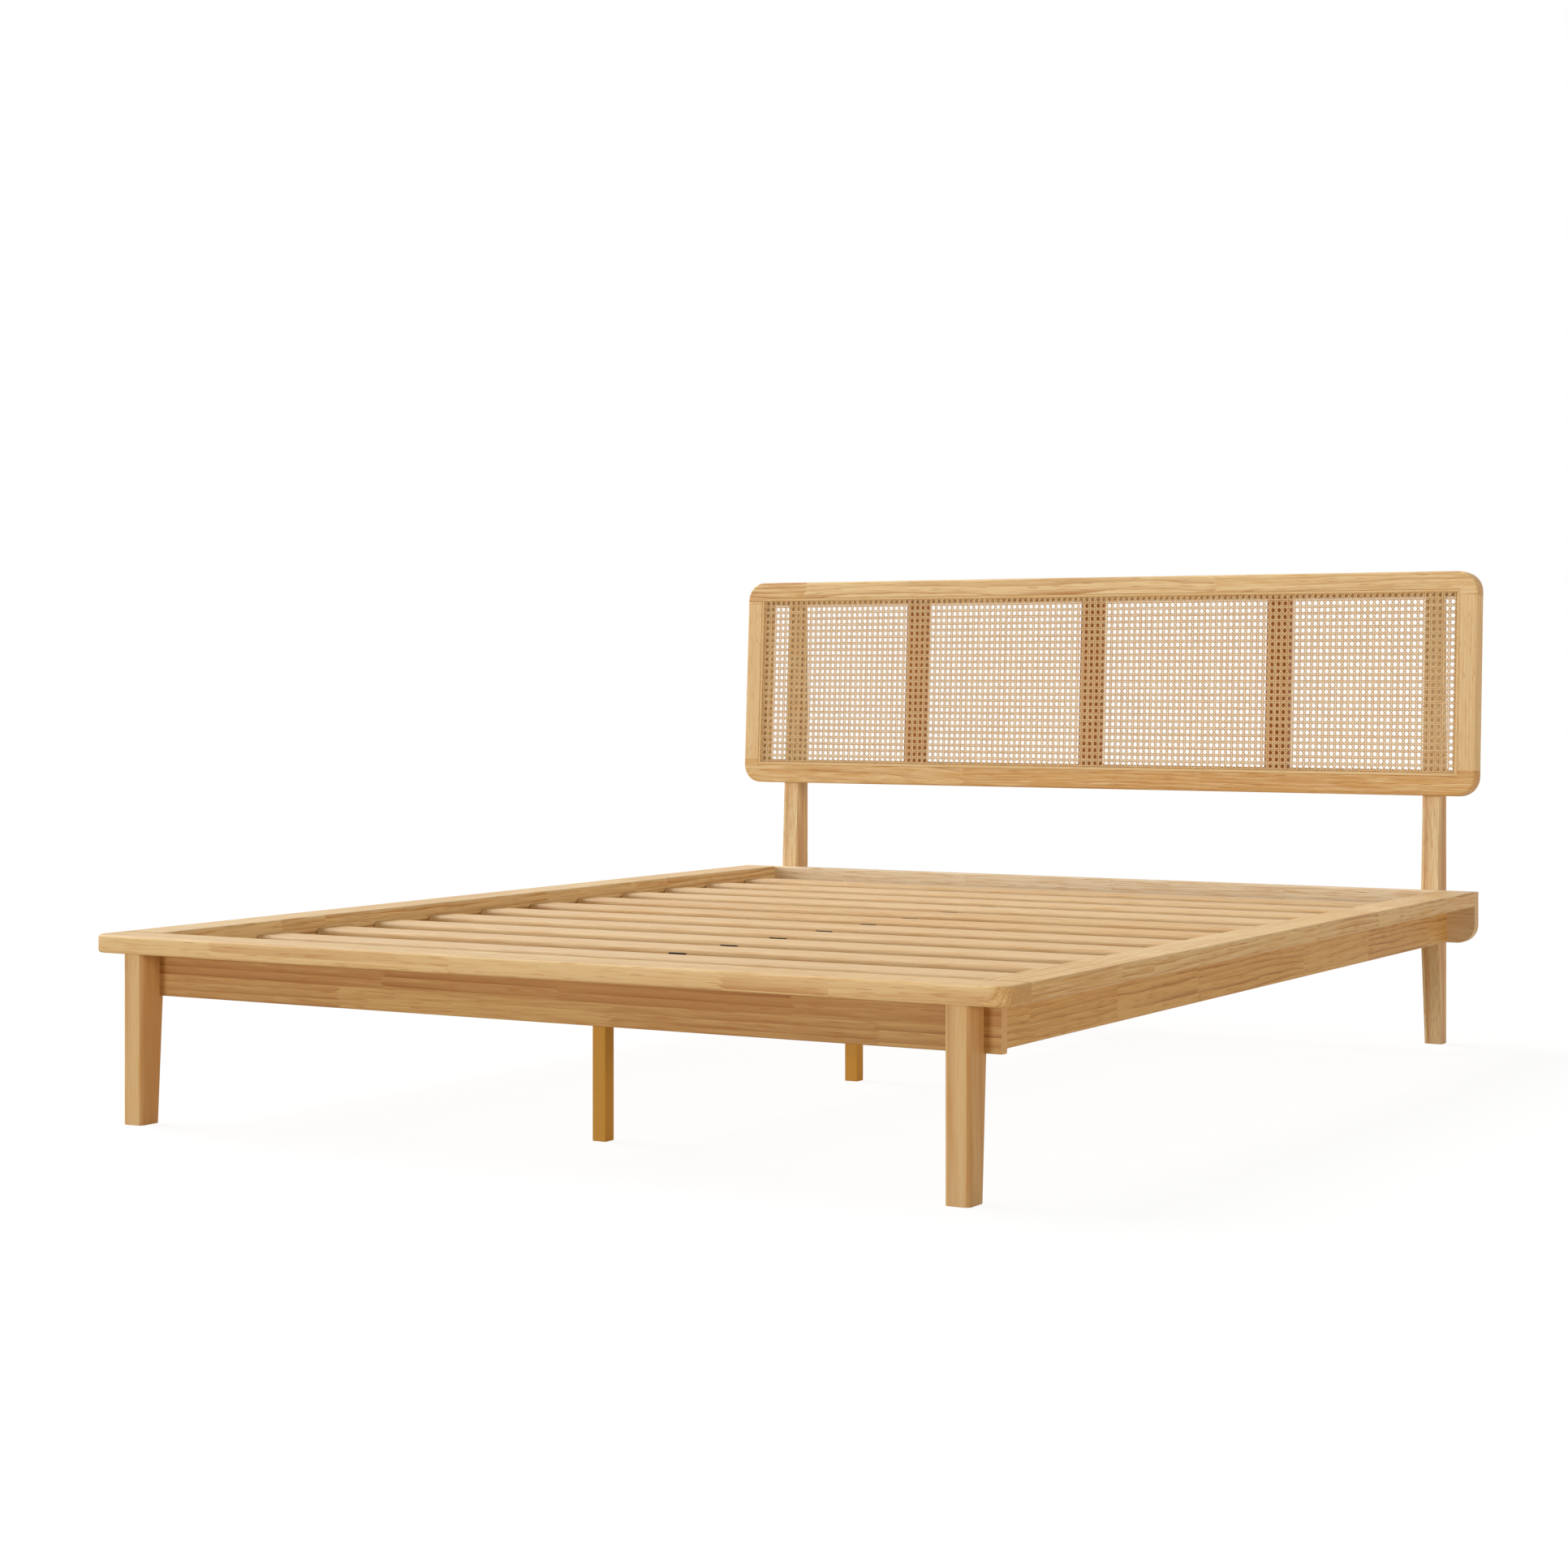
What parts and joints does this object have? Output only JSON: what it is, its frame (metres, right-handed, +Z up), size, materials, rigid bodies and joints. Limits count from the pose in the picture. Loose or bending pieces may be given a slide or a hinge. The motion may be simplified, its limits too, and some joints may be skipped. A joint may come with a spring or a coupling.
{
  "type": "platform bed",
  "caption": "Low pine platform bed with a slatted mattress well, tapered legs and a leaning headboard framed round woven cane.",
  "frame": {"origin": "on the floor, under the middle of the bed's overall width and length", "axes": "+Z up, +Y from the foot end to the head end, +X to the right when seen from the foot end"},
  "size_m": [1.7, 2.204, 0.9562],
  "materials": {
    "pine_front_cap": "clear satin lacquer",
    "pine_side_cap": "clear satin lacquer",
    "pine_apron": "clear satin lacquer",
    "pine_side_rail": "clear satin lacquer",
    "pine_head_rail": "clear satin lacquer",
    "pine_leg": "clear satin lacquer",
    "pine_post": "clear satin lacquer",
    "pine_slat": "clear satin lacquer",
    "pine_board_rail": "clear satin lacquer",
    "pine_board_stile": "clear satin lacquer",
    "pine_batten": "clear satin lacquer",
    "pine_bead": "clear satin lacquer",
    "pine_inner": "clear satin lacquer",
    "ochre_lacquer": "satin lacquer",
    "cane": "natural cane",
    "black_plastic": "matte",
    "zinc_steel": "zinc plated",
    "brass_insert": "plain",
    "beech_dowel": "raw"
  },
  "bodies": {
    "root": {"front_cap": "pine_front_cap", "left_cap": "pine_side_cap", "right_cap": "pine_side_cap", "front_apron": "pine_apron", "left_side_rail": "pine_side_rail", "right_side_rail": "pine_side_rail", "head_rail": "pine_head_rail", "front_left_leg": "pine_leg", "front_right_leg": "pine_leg", "left_head_post": "pine_post", "right_head_post": "pine_post", "slat_01": "pine_slat", "slat_02": "pine_slat", "slat_03": "pine_slat", "slat_04": "pine_slat", "slat_05": "pine_slat", "slat_06": "pine_slat", "slat_07": "pine_slat", "slat_08": "pine_slat", "slat_09": "pine_slat", "slat_10": "pine_slat", "slat_11": "pine_slat", "slat_12": "pine_slat", "headboard_top_rail": "pine_board_rail", "headboard_bottom_rail": "pine_board_rail", "headboard_left_stile": "pine_board_stile", "headboard_right_stile": "pine_board_stile", "headboard_batten_1": "pine_batten", "headboard_batten_2": "pine_batten", "headboard_batten_3": "pine_batten", "cane_bead_top": "pine_bead", "cane_bead_bottom": "pine_bead", "cane_bead_left": "pine_bead", "cane_bead_right": "pine_bead", "left_slat_ledge": "pine_inner", "right_slat_ledge": "pine_inner", "centre_beam": "pine_inner", "centre_leg_1": "ochre_lacquer", "centre_leg_2": "ochre_lacquer", "centre_leg_3": "ochre_lacquer", "cane_panel": "cane", "slat_clips": "black_plastic", "front_leg_bolts": "zinc_steel", "head_rail_bolts": "zinc_steel", "headboard_bolts": "zinc_steel", "centre_leg_bolts": "zinc_steel", "corner_brackets": "zinc_steel", "corner_bracket_screws": "zinc_steel", "beam_hangers": "zinc_steel", "beam_hanger_screws": "zinc_steel", "ledge_screws": "zinc_steel", "front_leg_inserts": "brass_insert", "head_rail_inserts": "brass_insert", "headboard_inserts": "brass_insert", "cap_dowels": "beech_dowel"}
  },
  "joints": []
}
